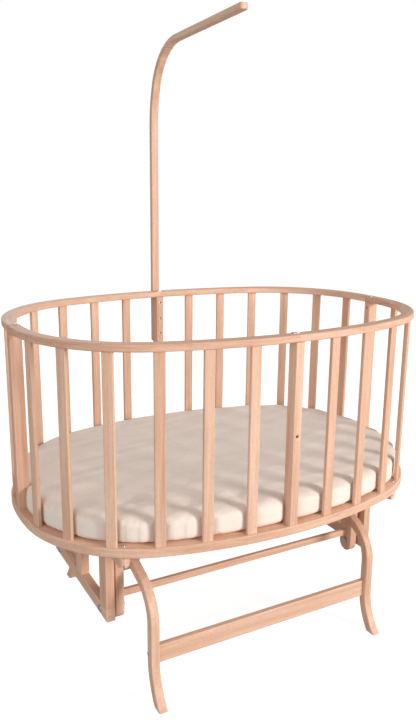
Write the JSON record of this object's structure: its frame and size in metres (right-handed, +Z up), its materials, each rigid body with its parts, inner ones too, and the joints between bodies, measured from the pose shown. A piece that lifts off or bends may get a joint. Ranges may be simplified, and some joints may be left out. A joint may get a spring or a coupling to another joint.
{
  "type": "baby crib",
  "caption": "Oval slatted wooden baby crib with a mattress and a canopy mast, hung on four links from a stand with curved legs so that it glides back and forth.",
  "frame": {"origin": "on the floor, under the middle of the crib's overall box", "axes": "+Z up, +X along the crib's long side to the right, +Y to the back, where the canopy mast stands"},
  "size_m": [0.879, 0.631, 1.2766],
  "materials": {
    "beech": "satin lacquered beech",
    "board": "bare plywood",
    "sheet": "matt woven cotton",
    "steel": "zinc plated"
  },
  "bodies": {
    "stand": {"end_board_left": "beech", "end_board_right": "beech", "end_board_screws": "steel", "leg_front_left": "beech", "leg_front_right": "beech", "leg_rear_left": "beech", "leg_rear_right": "beech", "link_pivot_bolts": "steel", "link_pivot_nuts": "steel", "link_pivot_spacers": "steel", "link_pivot_washers": "steel", "stretcher_bolts": "steel", "stretcher_front": "beech", "stretcher_rear": "beech"},
    "front_links": {"link_front_left": "beech", "link_front_right": "beech", "link_cross_bar_front": "beech"},
    "rear_links": {"link_rear_left": "beech", "link_rear_right": "beech", "link_cross_bar_rear": "beech"},
    "cradle": {"base_panel": "board", "bottom_ring_front_left": "beech", "bottom_ring_front_right": "beech", "bottom_ring_rear_left": "beech", "bottom_ring_rear_right": "beech", "canopy_mast": "beech", "crib_pivot_bolts": "steel", "crib_pivot_nuts": "steel", "crib_pivot_spacers": "steel", "crib_pivot_washers": "steel", "hanger_bar_left": "beech", "hanger_bar_right": "beech", "hanger_post_left_front": "beech", "hanger_post_left_middle": "beech", "hanger_post_left_rear": "beech", "hanger_post_right_front": "beech", "hanger_post_right_middle": "beech", "hanger_post_right_rear": "beech", "hanger_top_rail_left": "beech", "hanger_top_rail_right": "beech", "mast_bolts": "steel", "mattress": "sheet", "post_front": "beech", "post_left_end": "beech", "post_rear": "beech", "post_right_end": "beech", "rail_joint_plates": "steel", "rail_joint_screws": "steel", "ring_bolts": "steel", "slats_front_left": "beech", "slats_front_right": "beech", "slats_rear_left": "beech", "slats_rear_right": "beech", "top_rail_front_left": "beech", "top_rail_front_right": "beech", "top_rail_rear_left": "beech", "top_rail_rear_right": "beech"}
  },
  "joints": [
    {"name": "swing", "type": "hinge", "parent": "stand", "child": "front_links", "pos_m": [0, -0.1375, 0.241], "axis": [1, 0, 0], "range_deg": [-18, 18]},
    {"name": "cradle_level", "type": "hinge", "parent": "front_links", "child": "cradle", "pos_m": [0, -0.1375, 0.153], "axis": [1, 0, 0], "range_deg": [-18, 18]},
    {"name": "rear_swing", "type": "hinge", "parent": "stand", "child": "rear_links", "pos_m": [0, 0.1225, 0.241], "axis": [1, 0, 0], "range_deg": [-18, 18]}
  ],
  "couplings": [
    {"joint": "cradle_level", "follows": "swing", "ratio": -1},
    {"joint": "rear_swing", "follows": "swing", "ratio": 1}
  ]
}
